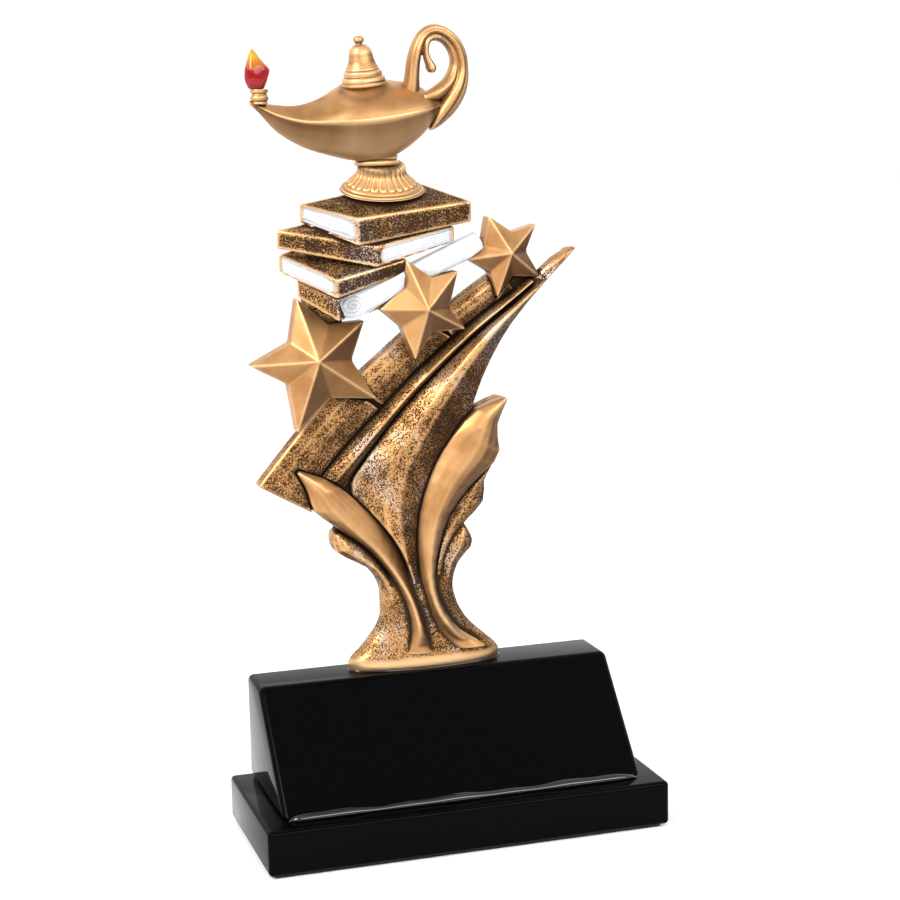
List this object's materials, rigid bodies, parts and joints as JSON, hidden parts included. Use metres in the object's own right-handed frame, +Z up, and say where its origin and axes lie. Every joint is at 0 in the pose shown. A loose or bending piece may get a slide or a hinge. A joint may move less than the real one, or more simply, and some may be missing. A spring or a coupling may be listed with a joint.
{
  "type": "star trophy",
  "caption": "Upright relief trophy: an oil lamp on stacked books over stars, a scroll and leafy ribbons, cast in resin, on a black two-step base with a sloping front.",
  "frame": {"origin": "middle of the underside of the base, where it rests on a shelf", "axes": "+Z up, -Y towards the viewer who faces the figure and the sloping front, +X to that viewer's right"},
  "size_m": [0.11, 0.048, 0.2139],
  "materials": {
    "smooth_gold": "cast resin painted a satin antique gold, rubbed bright on raised faces",
    "antique_gold": "cast resin, grained, gold paint under a black wash that stays as specks",
    "white_enamel": "satin white paint with fine grey page lines",
    "red_enamel": "gloss red enamel",
    "amber_enamel": "gloss amber enamel",
    "black_lacquer": "high-gloss black piano lacquer over wood",
    "felt": "black self-adhesive felt",
    "steel": "zinc-plated steel"
  },
  "bodies": {
    "root": {"felt_base_pad": "felt", "plinth_slab": "black_lacquer", "sloped_block": "black_lacquer", "block_lacquer_bead": "black_lacquer", "bolt_washer": "steel", "figure_bolt": "steel", "block_screw_1": "steel", "block_screw_2": "steel", "casting_foot": "smooth_gold", "back_plate": "antique_gold", "left_leaf": "smooth_gold", "right_leaf": "smooth_gold", "narrow_rib": "antique_gold", "large_swoosh": "antique_gold", "upper_flat_band": "antique_gold", "middle_flat_band": "antique_gold", "lower_flat_band": "antique_gold", "left_lobe": "antique_gold", "upper_right_lobe": "antique_gold", "lower_right_lobe": "antique_gold", "large_star": "smooth_gold", "medium_star": "smooth_gold", "small_star": "smooth_gold", "top_book_cover": "antique_gold", "top_book_pages": "white_enamel", "middle_book_cover": "antique_gold", "middle_book_pages": "white_enamel", "bottom_book_cover": "antique_gold", "bottom_book_pages": "white_enamel", "book_support": "antique_gold", "scroll": "white_enamel", "lamp_foot": "smooth_gold", "lamp_collar": "smooth_gold", "lamp_bowl": "smooth_gold", "lamp_handle": "smooth_gold", "lamp_lid": "smooth_gold", "lid_knob": "smooth_gold", "burner_cup": "smooth_gold", "flame_lower": "red_enamel", "flame_tip": "amber_enamel"}
  },
  "joints": []
}
